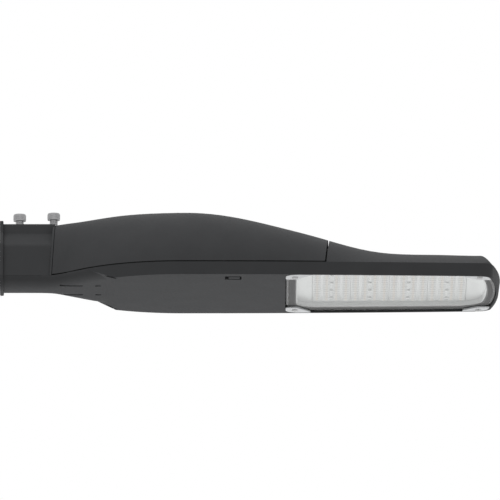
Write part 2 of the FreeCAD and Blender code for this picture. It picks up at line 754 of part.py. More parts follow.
def make_housing():
    """Die-cast body: socket, neck, tub, light recess and front hood."""
    sleeve_end = COVER_REAR_X - COVER_REAR_GAP
    sleeve = sleeve_top(sleeve_end, 0.0)
    sleeve = sleeve.cut(ahead_of(sleeve_end, PAD_TOP_Z, COVER_REAR_LEAN))
    barrel = lengthwise(NECK_START_X, BARREL_END_X, 0.0, BARREL_R)
    body = fused([
        tub(),
        neck_belly(0.0, TUB_REAR_X + RIM_WIDTH).cut(tub_space(BELLY_LAP)),
        hood_outside(),
        sleeve,
        sleeve_bottom(NECK_START_X, 0.0),
        collar(),
        rear_rim(),
    ])
    body = body.cut(gear_cavity())
    body = fused([body, barrel, tongue(), web_and_bulkhead(), clamp_seat()] + tray_bosses())
    window_x, window_y = latch_window()
    cuts = [
        lengthwise(-1.0, BORE_DEPTH, 0.0, BORE_R),
        lengthwise(BORE_DEPTH - 1.0, BARREL_END_X + 1.0, 0.0, CABLE_R + GROMMET_LIP),
        recess(0.0, UNDERSIDE_Z - 1.0, LEDGE_Z),
        light_opening(0.0, LEDGE_Z - 1.0, WEB_LOW_Z),
        hood_cavity(),
        box(window_x, window_y, (-FAR, 0.0)),
        underside_slits(),
        corner_pockets(),
        housing_screw_holes(),
    ]
    for tool in cuts:
        body = body.cut(tool)
    return body.removeSplitter()


# Gear cover

def hinge_boss():
    """Eye of the cover on one side of the knuckle, with its pin hole."""
    eye = crosswise(HINGE_X, HINGE_Z, HINGE_BOSS_INNER_Y, HINGE_PIN_OUTER_Y, HINGE_BOSS_R)
    return eye.common(canopy(0.0, 0.0, PARTING_Z))


def catch_leg():
    """Leg of the cover beside the latch."""
    x = LATCH_FRONT_X - LATCH_GAP + CATCH_GAP
    window_y = latch_window()[1]
    middle = (window_y[0] + window_y[1]) / 2
    side = (middle - CATCH_LEG[1] / 2, middle + CATCH_LEG[1] / 2)
    low = PARTING_Z + CATCH_RISE
    leg = box((x, x + CATCH_LEG[0]), side, (low, FAR))
    return leg.common(canopy(WALL / 2, COVER_SKIN_CROWN / 2, low))


def knuckle_notch():
    """Cut in the cover round the knuckle, with room ahead of it for the swing."""
    half = TONGUE_HALF + NOTCH_GAP
    end_x = KNUCKLE_X + NOTCH_LEAD
    slot = box((0.0, end_x), (-half, half), (0.0, FAR))
    return slot.fuse(upright(end_x, 0.0, 0.0, FAR, half))


def make_top_cover():
    """Die-cast canopy over the gear, hinged at the neck."""
    shell = canopy(0.0, 0.0, PARTING_Z)
    shell = shell.cut(canopy(WALL, COVER_SKIN_CROWN, PARTING_Z - 1.0))
    shell = shell.common(ahead_of(COVER_REAR_X, PAD_TOP_Z, COVER_REAR_LEAN))
    shell = shell.cut(ahead_of(COVER_FRONT_X, COVER_FRONT_Z, COVER_FRONT_LEAN))
    shell = shell.common(box((0, FAR), (-FAR, FAR), (PARTING_Z + SEAM_GAP, FAR)))
    eye = hinge_boss()
    cover = fused([shell, eye, mirrored(eye), catch_leg()])
    pin_hole = crosswise(HINGE_X, HINGE_Z, -FAR, FAR, HINGE_PIN_R + HINGE_RUNNING_GAP)
    pin_hole = pin_hole.common(box((0, FAR), (-HINGE_PIN_OUTER_Y, HINGE_PIN_OUTER_Y), (-FAR, FAR)))
    return cover.cut(knuckle_notch()).cut(pin_hole).removeSplitter()


def make_hinge_pins():
    """Two stub pins between the knuckle and the eyes of the cover."""
    outer = HINGE_PIN_OUTER_Y - HINGE_RUNNING_GAP
    pin = crosswise(HINGE_X, HINGE_Z, HINGE_PIN_INNER_Y, outer, HINGE_PIN_R)
    return Part.makeCompound([pin, mirrored(pin)])


def make_cover_gasket():
    """Rubber strips between the rim and the cover."""
    low = PARTING_Z
    high = PARTING_Z + SEAM_GAP
    outer = plan_prism(GASKET_OUT, GASKET_OUT, CORNER_R, low, high)
    inner = plan_prism(GASKET_IN, GASKET_IN, CORNER_R, low, high)
    return outer.cut(inner).common(between_x(
        COVER_REAR_X + GASKET_AHEAD, COVER_FRONT_X - GASKET_BEHIND))


# Latch

def make_latch_slider():
    """Flush slider in the floor window, with a flange and post inside."""
    window_x, window_y = latch_window()
    low_x = window_x[0] + LATCH_TRAVEL
    high_x = window_x[1] - LATCH_GAP
    side = (window_y[0] + LATCH_GAP, window_y[1] - LATCH_GAP)
    flange_top = FLOOR_Z + LATCH_FLANGE_T
    face = box((low_x, high_x), side, (UNDERSIDE_Z, FLOOR_Z))
    wide = (side[0] - LATCH_FLANGE, side[1] + LATCH_FLANGE)
    flange = box((window_x[0] - LATCH_FLANGE, high_x + LATCH_FLANGE), wide, (FLOOR_Z, flange_top))
    middle = (side[0] + side[1]) / 2
    post = box(
        (high_x - LATCH_POST[0], high_x),
        (middle - LATCH_POST[1] / 2, middle + LATCH_POST[1] / 2),
        (flange_top, flange_top + LATCH_POST[2]),
    )
    return joined([face, flange, post])


# Pole clamp screws

def make_pole_screws():
    """Two socket-head screws that clamp the pole end."""
    screws = []
    for x, rise in zip(SCREW_X, SCREW_HEAD_RISE):
        top = PAD_TOP_Z + rise
        under = top - SCREW_HEAD_H
        head = upright(x, 0.0, under, top, SCREW_HEAD_R)
        head = rounded(head, SCREW_HEAD_ROUND, lambda e: e.BoundBox.ZMin > top - 0.01)
        shank = upright(x, 0.0, BORE_R + SCREW_TIP_GAP, under, SCREW_R)
        socket = hexagon(x, 0.0, top - SCREW_SOCKET_DEPTH, top, SCREW_SOCKET_R)
        screws.append(joined([head, shank]).cut(socket))
    return Part.makeCompound(screws)


def hexagon(x, y, z_low, z_high, radius):
    """Upright six-sided prism."""
    corners = []
    for i in range(7):
        turn = math.radians(60.0 * i)
        corners.append(Vector(x + radius * math.cos(turn), y + radius * math.sin(turn), z_low))
    return Part.Face(Part.makePolygon(corners)).extrude(Vector(0, 0, z_high - z_low))


def pan_screw(x, y, head_z, tip_z, radius, head_r, head_h):
    """Small screw: a head on the far side of head_z from the tip."""
    low, high = min(head_z, tip_z), max(head_z, tip_z)
    shank = upright(x, y, low, high, radius)
    away = head_z + math.copysign(head_h, head_z - tip_z)
    head = upright(x, y, min(head_z, away), max(head_z, away), head_r)
    return joined([shank, head])


# Light opening

def rear_clamp_area():
    """Three-cornered area of a rear corner clamp, on the +Y side."""
    run_x, run_y = REAR_CLAMP_RUN
    y = half_width(RECESS_REAR_X)
    edge = y - SKIRT_DRAFT_SIDE - RIM_INSET
    tip_x = RECESS_REAR_X + run_x
    return upright_polygon([
        (RECESS_REAR_X, y),
        (tip_x, y),
        (tip_x, edge - CLAMP_TIP_WIDTH),
        (RECESS_REAR_X + REAR_CLAMP_BODY, edge - run_y),
        (RECESS_REAR_X, edge - run_y),
    ])


def front_clamp_area():
    """Three-cornered area of a front corner clamp, on the +Y side."""
    x = LENGTH - FRONT_CLAMP_BEHIND
    y = half_width(x)
    edge = y - SKIRT_DRAFT_SIDE - RIM_INSET - CLAMP_TIP_WIDTH
    inner = LENS_HALF - FRONT_CLAMP_TIP
    return upright_polygon([
        (x, y),
        (x, edge),
        (LENGTH - FRONT_CLAMP_BODY, inner),
        (LENGTH, inner),
        (LENGTH, y),
    ])


def upright_polygon(corners):
    """Tall prism on a polygon in plan, its corners rounded."""
    points = [Vector(x, y, -FAR) for x, y in corners]
    prism = Part.Face(Part.makePolygon(points + [points[0]])).extrude(Vector(0, 0, 2.0 * FAR))
    return rounded(prism, CLAMP_ROUND, is_upright)


def make_clamp(area, screw_xy):
    """Light metal corner clamp that holds the glass, on the +Y side."""
    plate = recess(CLAMP_GAP, UNDERSIDE_Z, GLASS_LOW_Z).common(area)
    x, y = screw_xy
    return plate.cut(upright(x, y, -FAR, FAR, CLAMP_SCREW_R + CLAMP_SCREW_GAP))


def corner_cut(x, y, toward):
    """Half space beyond a diagonal line beside a clamp screw, on the +Y side."""
    clear = CLAMP_SCREW_R + GLASS_CORNER_CLEAR
    cutter = box((-FAR, FAR), (-clear, FAR), (-FAR, FAR))
    cutter.rotate(Vector(0, 0, 0), Vector(0, 0, 1), -45.0 * toward)
    cutter.translate(Vector(x, y, 0))
    return cutter


def glass_block(z_low, z_high):
    """Prism on the outline of the glass, cut off at the clamp screws and rounded at the front."""
    block = recess(GLASS_GAP, z_low, z_high)
    for (x, y), toward in zip(clamp_screw_places(), (-1.0, 1.0)):
        cutter = corner_cut(x, y, toward)
        block = block.cut(cutter).cut(mirrored(cutter))
    middle_x = block.BoundBox.Center.x
    return rounded(block, GLASS_FRONT_R, lambda e: is_upright(e) and e.BoundBox.XMin > middle_x)


def make_glass():
    """Clear pane with a ground bevel round its lower face."""
    pane = glass_block(GLASS_LOW_Z, GLASS_TOP_Z)
    low_edges = [edge for edge in pane.Edges if edge.BoundBox.ZMax < GLASS_LOW_Z + 0.01]
    return pane.makeChamfer(GLASS_BEVEL[0], GLASS_BEVEL[1], low_edges)


def make_glass_seal():
    """Flat rubber frame between the glass and the ledge."""
    frame = glass_block(GLASS_TOP_Z, LEDGE_Z)
    return frame.cut(light_opening(-SEAL_EDGE, GLASS_TOP_Z, LEDGE_Z))


def make_clamp_screws():
    """Screws of the glass clamps."""
    screws = []
    for x, y in clamp_screw_places():
        for side in (-y, y):
            tip = UNDERSIDE_Z + CLAMP_SCREW_LENGTH
            screws.append(pan_screw(
                x, side, UNDERSIDE_Z, tip, CLAMP_SCREW_R, CLAMP_SCREW_HEAD_R, CLAMP_SCREW_HEAD_H))
    return Part.makeCompound(screws)


def make_reflector():
    """White tray round the lenses."""
    outer = light_opening(TRAY_GAP, LEDGE_Z, BOARD_LOW_Z)
    inner = light_opening(TRAY_GAP + TRAY_T, LEDGE_Z - 1.0, BOARD_LOW_Z - TRAY_T)
    window = box(lens_field_x(LENS_GAP), lens_field_y(LENS_GAP), (-FAR, FAR))
    return outer.cut(inner).cut(window)


def lens_field_x(grow):
    """Length of the lens field."""
    return (LENS_REAR_X - grow, LENS_FRONT_X + grow)


def lens_field_y(grow):
    """Width of the lens field."""
    return (-LENS_HALF - grow, LENS_HALF + grow)


def lens_screw_places(index):
    """Screw places of one lens plate: one in the middle of each square block."""
    x = LENS_REAR_X + LENS_PITCH * (index + 0.5)
    blocks = int(2.0 * LENS_HALF / LENS_PITCH)
    return [(x, -LENS_HALF + LENS_PITCH * (i + 0.5)) for i in range(blocks)]


def lens_strip(index, z_low, z_high, gap):
    """Strip over one lens plate's place, with its screw holes."""
    low = LENS_REAR_X + LENS_PITCH * index + gap / 2
    strip = box((low, low + LENS_PITCH - gap), lens_field_y(0.0), (z_low, z_high))
    holes = [upright(x, y, -FAR, FAR, LENS_SCREW_R) for x, y in lens_screw_places(index)]
    return strip.cut(Part.makeCompound(holes))


def make_lens_screws():
    """Screws through the lens plates into the heat spreader."""
    head_z = BOARD_LOW_Z - LENS_T
    tip_z = SPREADER_LOW_Z + SPREADER_T
    screws = []
    for index in range(LENS_COUNT):
        for x, y in lens_screw_places(index):
            screws.append(pan_screw(
                x, y, head_z, tip_z, LENS_SCREW_R, LENS_SCREW_HEAD_R, LENS_SCREW_HEAD_H))
    return Part.makeCompound(screws)


def make_heat_spreader():
    """Aluminium plate that carries the boards against the ribs of the hood."""
    plate = light_opening(SPREADER_INSET, SPREADER_LOW_Z, WEB_LOW_Z)
    holes = [upright(x, y, -FAR, FAR, SPREADER_SCREW_R) for x, y in spreader_screw_places()]
    for index in range(LENS_COUNT):
        holes += [upright(x, y, -FAR, FAR, LENS_SCREW_R) for x, y in lens_screw_places(index)]
    return plate.cut(Part.makeCompound(holes))


def make_spreader_screws():
    """Screws of the heat spreader."""
    tip = WEB_LOW_Z + SPREADER_SCREW_GRIP
    screws = []
    for x, y in spreader_screw_places():
        screws.append(pan_screw(
            x, y, SPREADER_LOW_Z, tip,
            SPREADER_SCREW_R, SPREADER_SCREW_HEAD_R, SPREADER_SCREW_HEAD_H))
    return Part.makeCompound(screws)


# Control gear

def make_gear_tray():
    """Steel sheet that carries the control gear."""
    low = FLOOR_Z + TRAY_BOSS_H
    half = gear_tray_half()
    sheet = box((GEAR_TRAY_REAR_X, GEAR_TRAY_FRONT_X), (-half, half), (low, low + GEAR_TRAY_T))
    sheet = rounded(sheet, TRAY_BOSS_R, is_upright)
    holes = [upright(x, y, -FAR, FAR, GEAR_SCREW_R) for x, y in tray_boss_places()]
    return sheet.cut(Part.makeCompound(holes))


def make_tray_screws():
    """Screws of the gear tray."""
    screws = []
    for x, y in tray_boss_places():
        screws.append(pan_screw(
            x, y, GEAR_Z, UNDERSIDE_Z + GEAR_SCREW_FLOOR,
            GEAR_SCREW_R, GEAR_SCREW_HEAD_R, GEAR_SCREW_HEAD_H))
    return Part.makeCompound(screws)


def driver_ends():
    """Ends of the driver case along X and across."""
    outer = gear_tray_half() - GEAR_EDGE
    return (DRIVER_REAR_X, DRIVER_REAR_X + DRIVER_LENGTH), (outer - DRIVER_WIDTH, outer)


def driver_ear_places():
    """Screw places of the driver's end ears."""
    along, across = driver_ends()
    middle = (across[0] + across[1]) / 2
    return [(along[0] - DRIVER_EAR / 2, middle), (along[1] + DRIVER_EAR / 2, middle)]


def make_driver():
    """Power supply in a closed case with an ear at each end."""
    along, across = driver_ends()
    case = box(along, across, (GEAR_Z, GEAR_Z + DRIVER_H))
    case = rounded(case, DRIVER_ROUND, lambda e: e.BoundBox.XLength > DRIVER_EAR)
    shoulder = DRIVER_ROUND * 2.0
    ears = box(
        (along[0] - DRIVER_EAR, along[1] + DRIVER_EAR),
        (across[0] + shoulder, across[1] - shoulder),
        (GEAR_Z, GEAR_Z + DRIVER_EAR_T),
    )
    holes = [upright(x, y, -FAR, GEAR_Z + DRIVER_EAR_T, GEAR_SCREW_R) for x, y in driver_ear_places()]
    return joined([case, ears]).cut(Part.makeCompound(holes))


def make_driver_screws():
    """Screws through the driver's ears into the tray."""
    screws = []
    for x, y in driver_ear_places():
        screws.append(pan_screw(
            x, y, GEAR_Z + DRIVER_EAR_T, GEAR_Z,
            GEAR_SCREW_R, GEAR_SCREW_HEAD_R, GEAR_SCREW_HEAD_H))
    return Part.makeCompound(screws)


def gear_block(ahead, size):
    """Block on the gear tray beside the driver, a given way ahead of the tray's rear edge."""
    x = GEAR_TRAY_REAR_X + ahead
    y = GEAR_EDGE - gear_tray_half()
    return box((x, x + size[0]), (y, y + size[1]), (GEAR_Z, GEAR_Z + size[2]))


def make_surge_protector():
    """Surge protector in a moulded case."""
    return rounded(gear_block(SURGE_AHEAD, SURGE_SIZE), DRIVER_ROUND, is_upright)


def make_terminal_block():
    """Supply terminal block with a row of wire entries and screw wells."""
    block = gear_block(TERMINAL_AHEAD, TERMINAL_SIZE)
    space = block.BoundBox
    pitch = TERMINAL_SIZE[0] / TERMINAL_WAYS
    entry_z = space.Center.z
    wells = []
    for way in range(TERMINAL_WAYS):
        x = space.XMin + pitch * (way + 0.5)
        wells += [
            upright(x, space.Center.y, space.ZMax - TERMINAL_WELL, space.ZMax, TERMINAL_SCREW_R),
            crosswise(x, entry_z, space.YMin, space.YMin + TERMINAL_WELL, TERMINAL_SCREW_R),
            crosswise(x, entry_z, space.YMax - TERMINAL_WELL, space.YMax, TERMINAL_SCREW_R),
        ]
    return block.cut(Part.makeCompound(wells))


def clamp_half(z_low, z_high):
    """One half of the strain relief, with a half-round groove for the cable."""
    block = box(CLAMP_BLOCK_X, CLAMP_BLOCK_Y, (z_low, z_high))
    groove = lengthwise(0.0, FAR, CABLE_Z, CABLE_R)
    return block.cut(groove).cut(clamp_bar_holes())


def clamp_bar_places():
    """Screw places of the strain relief."""
    x = (CLAMP_BLOCK_X[0] + CLAMP_BLOCK_X[1]) / 2
    return [(x, -CLAMP_BAR_SCREW_Y), (x, CLAMP_BAR_SCREW_Y)]


def clamp_bar_holes():
    """Holes of the strain relief."""
    return Part.makeCompound([upright(x, y, -FAR, FAR, GEAR_SCREW_R) for x, y in clamp_bar_places()])


def make_clamp_bar_screws():
    """Screws of the strain relief."""
    top = CABLE_Z + CABLE_R + CLAMP_BAR_T
    screws = []
    for x, y in clamp_bar_places():
        screws.append(pan_screw(
            x, y, top, CLAMP_SEAT_Z, GEAR_SCREW_R, GEAR_SCREW_HEAD_R, GEAR_SCREW_HEAD_H))
    return Part.makeCompound(screws)


def make_cable_grommet():
    """Rubber grommet in the end wall of the socket."""
    hole_r = CABLE_R + GROMMET_LIP
    core = lengthwise(BORE_DEPTH, BARREL_END_X, 0.0, hole_r)
    lip = lengthwise(BARREL_END_X, BARREL_END_X + GROMMET_LIP_T, 0.0, hole_r + GROMMET_LIP)
    return joined([core, lip]).cut(lengthwise(0.0, FAR, 0.0, CABLE_R))


def all_parts():
    """Every sub-part by its node name."""
    parts = {
        "housing": make_housing(),
        "top_cover": make_top_cover(),
        "hinge_pins": make_hinge_pins(),
        "cover_gasket": make_cover_gasket(),
        "latch_slider": make_latch_slider(),
        "pole_screws": make_pole_screws(),
        "glass": make_glass(),
        "glass_seal": make_glass_seal(),
        "glass_clamp_screws": make_clamp_screws(),
        "reflector": make_reflector(),
        "lens_screws": make_lens_screws(),
        "heat_spreader": make_heat_spreader(),
        "heat_spreader_screws": make_spreader_screws(),
        "gear_tray": make_gear_tray(),
        "gear_tray_screws": make_tray_screws(),
        "driver": make_driver(),
        "driver_screws": make_driver_screws(),
        "surge_protector": make_surge_protector(),
        "terminal_block": make_terminal_block(),
        "cable_clamp": clamp_half(CLAMP_SEAT_Z, CABLE_Z),
        "cable_clamp_bar": clamp_half(CABLE_Z, CABLE_Z + CABLE_R + CLAMP_BAR_T),
        "cable_clamp_screws": make_clamp_bar_screws(),
        "cable_grommet": make_cable_grommet(),
    }
    rear_screw, front_screw = clamp_screw_places()
    rear = make_clamp(rear_clamp_area(), rear_screw)
    front = make_clamp(front_clamp_area(), front_screw)
    parts["glass_clamp_rear_left"] = rear
    parts["glass_clamp_rear_right"] = mirrored(rear)
    parts["glass_clamp_front_left"] = front
    parts["glass_clamp_front_right"] = mirrored(front)
    for index in range(LENS_COUNT):
        number = index + 1
        parts[f"lens_plate_{number}"] = lens_strip(
            index, BOARD_LOW_Z - LENS_T, BOARD_LOW_Z, LENS_GAP)
        parts[f"led_board_{number}"] = lens_strip(index, BOARD_LOW_Z, SPREADER_LOW_Z, LENS_GAP)
    return parts


os.makedirs("parts", exist_ok=True)
for name, shape in all_parts().items():
    shape.exportStep(f"parts/{name}.step")
    box_of = shape.BoundBox
    print(f"{name}: valid {shape.isValid()}, solids {len(shape.Solids)}, volume {shape.Volume:.0f}, "
          f"x {box_of.XMin:.1f} to {box_of.XMax:.1f}, y {box_of.YMin:.1f} to {box_of.YMax:.1f}, "
          f"z {box_of.ZMin:.1f} to {box_of.ZMax:.1f}")
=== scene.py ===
import json
import math

import bmesh
import bpy
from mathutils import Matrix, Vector


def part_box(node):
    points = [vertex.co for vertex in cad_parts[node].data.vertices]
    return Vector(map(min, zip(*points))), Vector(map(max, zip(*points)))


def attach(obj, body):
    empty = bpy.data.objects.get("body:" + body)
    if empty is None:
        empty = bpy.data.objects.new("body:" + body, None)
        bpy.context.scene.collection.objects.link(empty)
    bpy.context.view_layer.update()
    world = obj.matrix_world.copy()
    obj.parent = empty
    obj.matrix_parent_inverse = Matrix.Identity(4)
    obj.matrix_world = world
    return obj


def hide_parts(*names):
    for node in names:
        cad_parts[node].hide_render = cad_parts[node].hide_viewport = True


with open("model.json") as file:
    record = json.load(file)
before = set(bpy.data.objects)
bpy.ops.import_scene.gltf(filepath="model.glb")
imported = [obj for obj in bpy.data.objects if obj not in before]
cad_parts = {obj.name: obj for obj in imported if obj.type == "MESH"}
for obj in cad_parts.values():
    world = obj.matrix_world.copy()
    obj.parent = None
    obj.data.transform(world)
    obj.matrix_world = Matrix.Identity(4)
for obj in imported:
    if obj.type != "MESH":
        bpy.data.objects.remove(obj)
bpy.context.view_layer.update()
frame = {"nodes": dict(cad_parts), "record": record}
nodes = frame["nodes"]

# Picture: 500 pixels show 650 mm, seen from the side and slightly from below
FIELD_WIDTH = 0.650
CAMERA_DISTANCE = 26.0
CAMERA_ELEVATION = math.radians(-11.0)
CAMERA_REACH = 500.0
TARGET = Vector((0.3251, 0.0, 0.0115))
SENSOR_WIDTH = 36.0

# Surroundings: a wide pale floor far below, even light, and soft lamps with place, size and power
FLOOR_CENTRE = (0.3, 0.0, -30.0)
FLOOR_RADIUS = 220.0
FLOOR_SIDES = 96
WHITE = (1.0, 1.0, 1.0, 1.0)
AMBIENT = 0.71
FIRST_BOUNCE = 0.5
LAMPS = {
    "top_lamp": ((-0.5, -0.5, 1.2), 1.5, 8.0),
    "bottom_lamp": ((0.3, 3.0, -1.0), 1.6, 146.0),
}

# Lens domes: a square grid over each lens plate, with a warm line across each dome
LENS_PLATES = 4
DOME_PITCH = 0.0125
DOME_RADIUS = 0.0050
DOME_HEIGHT = 0.0008
DOME_RINGS = 8
DOME_SIDES = 24
DOME_ROOT = 0.0002
WARM_HALF = 0.0024

# Pole screws: the place along the socket and the underside of each head
SCREWS = ((0.0257, 0.0494), (0.0699, 0.0507))

# Threads of the pole screws, between the pad and the heads
PAD_TOP = 0.0409
SHANK_RADIUS = 0.0050
THREAD_PITCH = 0.0015
THREAD_BASE = 0.0014
THREAD_HEIGHT = 0.0004
THREAD_STEPS = 32

# Knurls round the heads of the pole screws
HEAD_RADIUS = 0.0080
KNURL_Z = (0.0012, 0.0070)
KNURL_TEETH = 64
KNURL_HEIGHT = 0.00022
KNURL_ROOT = 0.0004

# Raised lids of the gear cases, clear of the driver's ears
DRIVER_EAR = 0.012
LID_INSET = 0.004
LID_HEIGHT = 0.0012
LID_SLOPE = 0.0010
LID_CORNER = 0.003
LID_STEPS = 6

# Latch slider: a narrow bar in the window, on a flange and post inside
LATCH_FLANGE_WIDTH = 0.003
LATCH_FLANGE_THICKNESS = 0.002
LATCH_FLANGE_LEAD = 0.0028
LATCH_FLOOR_THICKNESS = 0.0035
LATCH_BAR_HALF = 0.0050
LATCH_BAR_GAP_REAR = 0.0048
LATCH_BAR_GAP_FRONT = 0.0014
LATCH_POST_LENGTH = 0.009
LATCH_POST_HALF = 0.004
LATCH_ROUND = 0.0004
LATCH_ROUND_STEPS = 2
LATCH_ROUND_PROFILE = 0.5

# Lip of the cover: the faces of the rear edge that it grows from, below the hinge, and its size
LIP_NORMAL_X = -0.99
LIP_FRONT_X = 0.0745
LIP_Z = (-0.029, 0.035)
LIP_MERGE = 1e-6
LIP_DEPTH = 0.0009
LIP_SHARE_Y = 0.988

# Finishes: where a colour starts and stops changing, the depth of fine relief, and grain directions
RAMP_ENDS = (0.3, 0.7)
RELIEF_DEPTH = 0.0001
NO_GRAIN = (1.0, 1.0, 1.0)
TURNED_GRAIN = (0.2, 0.2, 3.0)
ROLLED_GRAIN = (0.05, 1.0, 1.0)

# Glass: each pair runs from the ground edges to the flat faces, told apart by the normal's upright share
GLASS_NORMAL = (0.96, 0.99)
GLASS_ROUGHNESS = (0.3, 0.0)
GLASS_CLARITY = (0.8, 1.0)
GLASS_TINT = (0.97, 0.985, 0.98, 1.0)
GLASS_IOR = 1.12


# Material helpers

def new_material(name, metallic=0.0):
    """New material and its surface shader."""
    material = bpy.data.materials.new(name)
    material.use_nodes = True
    shader = material.node_tree.nodes["Principled BSDF"]
    shader.inputs["Metallic"].default_value = metallic
    return material, shader


def noise(material, scale, detail=3.0, grain=NO_GRAIN):
    """Noise value at a scale per metre, stretched along the axes by a grain."""
    tree = material.node_tree
    place = tree.nodes.new("ShaderNodeTexCoord")
    mapping = tree.nodes.new("ShaderNodeMapping")
    mapping.inputs["Scale"].default_value = grain
    texture = tree.nodes.new("ShaderNodeTexNoise")
    texture.inputs["Scale"].default_value = scale
    texture.inputs["Detail"].default_value = detail
    tree.links.new(place.outputs["Object"], mapping.inputs["Vector"])
    tree.links.new(mapping.outputs["Vector"], texture.inputs["Vector"])
    return texture.outputs["Fac"]


def calculate(tree, operation, *values):
    """Step that calculates with one or two values."""
    step = tree.nodes.new("ShaderNodeMath")
    step.operation = operation
    for value, socket in zip(values, step.inputs):
        tree.links.new(value, socket)
    return step


def vary_colour(material, shader, value, low, high):
    """Base colour that runs from low to high with a value."""
    tree = material.node_tree
    ramp = tree.nodes.new("ShaderNodeValToRGB")
    for stop, position, colour in zip(ramp.color_ramp.elements, RAMP_ENDS, (low, high)):
        stop.position = position
        stop.color = (*colour, 1.0)
    tree.links.new(value, ramp.inputs["Fac"])
    tree.links.new(ramp.outputs["Color"], shader.inputs["Base Color"])


def spread(material, value, start, end, socket):
    """Value moved from a start range to an end range, into a socket."""
    tree = material.node_tree
    ranges = tree.nodes.new("ShaderNodeMapRange")
    for label, limit in zip(("From Min", "From Max", "To Min", "To Max"), (*start, *end)):
        ranges.inputs[label].default_value = limit
    tree.links.new(value, ranges.inputs["Value"])
    tree.links.new(ranges.outputs["Result"], socket)


def vary_roughness(material, shader, value, low, high):
    """Roughness that runs from low to high with a value."""
    spread(material, value, (0.0, 1.0), (low, high), shader.inputs["Roughness"])


def add_relief(material, shader, scale, strength):
    """Fine relief at a scale per metre."""
    tree = material.node_tree
    bump = tree.nodes.new("ShaderNodeBump")
    bump.inputs["Strength"].default_value = strength
    bump.inputs["Distance"].default_value = RELIEF_DEPTH
    tree.links.new(noise(material, scale, detail=2.0), bump.inputs["Height"])
    tree.links.new(bump.outputs["Normal"], shader.inputs["Normal"])


# Materials

def powder_coat():
    """Anthracite powder coat with a fine orange-peel texture."""
    material, shader = new_material("powder_coat")
    tint = noise(material, scale=35.0, detail=4.0)
    vary_colour(material, shader, tint, low=(0.051, 0.052, 0.054), high=(0.055, 0.056, 0.058))
    vary_roughness(material, shader, noise(material, scale=260.0), low=0.56, high=0.70)
    add_relief(material, shader, scale=1500.0, strength=0.18)
    shader.inputs["Specular IOR Level"].default_value = 0.06
    return material


def rubber():
    """Black moulded rubber."""
    material, shader = new_material("rubber")
    tint = noise(material, scale=180.0)
    vary_colour(material, shader, tint, low=(0.008, 0.008, 0.008), high=(0.014, 0.014, 0.014))
    vary_roughness(material, shader, noise(material, scale=400.0), low=0.72, high=0.88)
    add_relief(material, shader, scale=2200.0, strength=0.2)
    return material


def silicone():
    """Grey moulded silicone of the glass seal."""
    material, shader = new_material("silicone")
    tint = noise(material, scale=140.0)
    vary_colour(material, shader, tint, low=(0.055, 0.055, 0.055), high=(0.07, 0.07, 0.07))
    vary_roughness(material, shader, noise(material, scale=400.0), low=0.55, high=0.7)
    add_relief(material, shader, scale=2200.0, strength=0.12)
    return material


def stainless():
    """Turned stainless steel."""
    material, shader = new_material("stainless", metallic=1.0)
    tint = noise(material, scale=900.0, grain=TURNED_GRAIN)
    marks = noise(material, scale=1400.0, detail=2.0, grain=TURNED_GRAIN)
    vary_colour(material, shader, tint, low=(0.30, 0.30, 0.31), high=(0.40, 0.40, 0.40))
    vary_roughness(material, shader, marks, low=0.26, high=0.42)
    return material


def nickel():
    """Bright nickel plating of the clamp screws."""
    material, shader = new_material("nickel", metallic=1.0)
    tint = noise(material, scale=700.0)
    vary_colour(material, shader, tint, low=(0.62, 0.62, 0.61), high=(0.72, 0.72, 0.71))
    vary_roughness(material, shader, noise(material, scale=900.0, detail=2.0), low=0.24, high=0.38)
    return material


def white_lacquer():
    """White lacquer on the heads of the lens screws."""
    material, shader = new_material("white_lacquer")
    tint = noise(material, scale=300.0)
    vary_colour(material, shader, tint, low=(0.82, 0.82, 0.815), high=(0.87, 0.87, 0.865))
    vary_roughness(material, shader, noise(material, scale=600.0), low=0.3, high=0.42)
    return material


def clear_glass():
    """Clear toughened glass, frosted on its ground bevel and edges."""
    material, shader = new_material("clear_glass")
    tree = material.node_tree
    place = tree.nodes.new("ShaderNodeTexCoord")
    shares = tree.nodes.new("ShaderNodeSeparateXYZ")
    tree.links.new(place.outputs["Normal"], shares.inputs["Vector"])
    flat = calculate(tree, "ABSOLUTE", shares.outputs["Z"]).outputs["Value"]
    spread(material, flat, GLASS_NORMAL, GLASS_ROUGHNESS, shader.inputs["Roughness"])
    spread(material, flat, GLASS_NORMAL, GLASS_CLARITY, shader.inputs["Transmission Weight"])
    shader.inputs["Base Color"].default_value = GLASS_TINT
    shader.inputs["IOR"].default_value = GLASS_IOR
    return material


def clamp_plastic():
    """Light grey moulded plastic."""
    material, shader = new_material("clamp_plastic")
    tint = noise(material, scale=90.0)
    vary_colour(material, shader, tint, low=(0.52, 0.53, 0.54), high=(0.58, 0.59, 0.60))
    vary_roughness(material, shader, noise(material, scale=500.0), low=0.38, high=0.5)
    add_relief(material, shader, scale=1800.0, strength=0.1)
    return material


def white_plastic():
    """Satin white reflector plastic."""
    material, shader = new_material("white_plastic")
    tint = noise(material, scale=50.0)
    vary_colour(material, shader, tint, low=(0.90, 0.90, 0.895), high=(0.93, 0.93, 0.925))
    vary_roughness(material, shader, noise(material, scale=300.0), low=0.28, high=0.4)
    return material


def lens_plastic():
    """Clear lens plastic over a white board, warm above each light point."""
    material, shader = new_material("lens_plastic")
    warm = material.node_tree.nodes.new("ShaderNodeAttribute")
    warm.attribute_name = "warm"
    tint = warm.outputs["Fac"]
    vary_colour(material, shader, tint, low=(0.93, 0.93, 0.925), high=(1.0, 0.92, 0.85))
    vary_roughness(material, shader, noise(material, scale=700.0), low=0.06, high=0.14)
    shader.inputs["IOR"].default_value = 1.49
    shader.inputs["Coat Weight"].default_value = 0.3
    return material


def board():
    """White solder mask of the LED boards."""
    material, shader = new_material("board")
    tint = noise(material, scale=120.0)
    vary_colour(material, shader, tint, low=(0.76, 0.76, 0.74), high=(0.82, 0.82, 0.8))
    vary_roughness(material, shader, noise(material, scale=600.0), low=0.3, high=0.42)
    return material


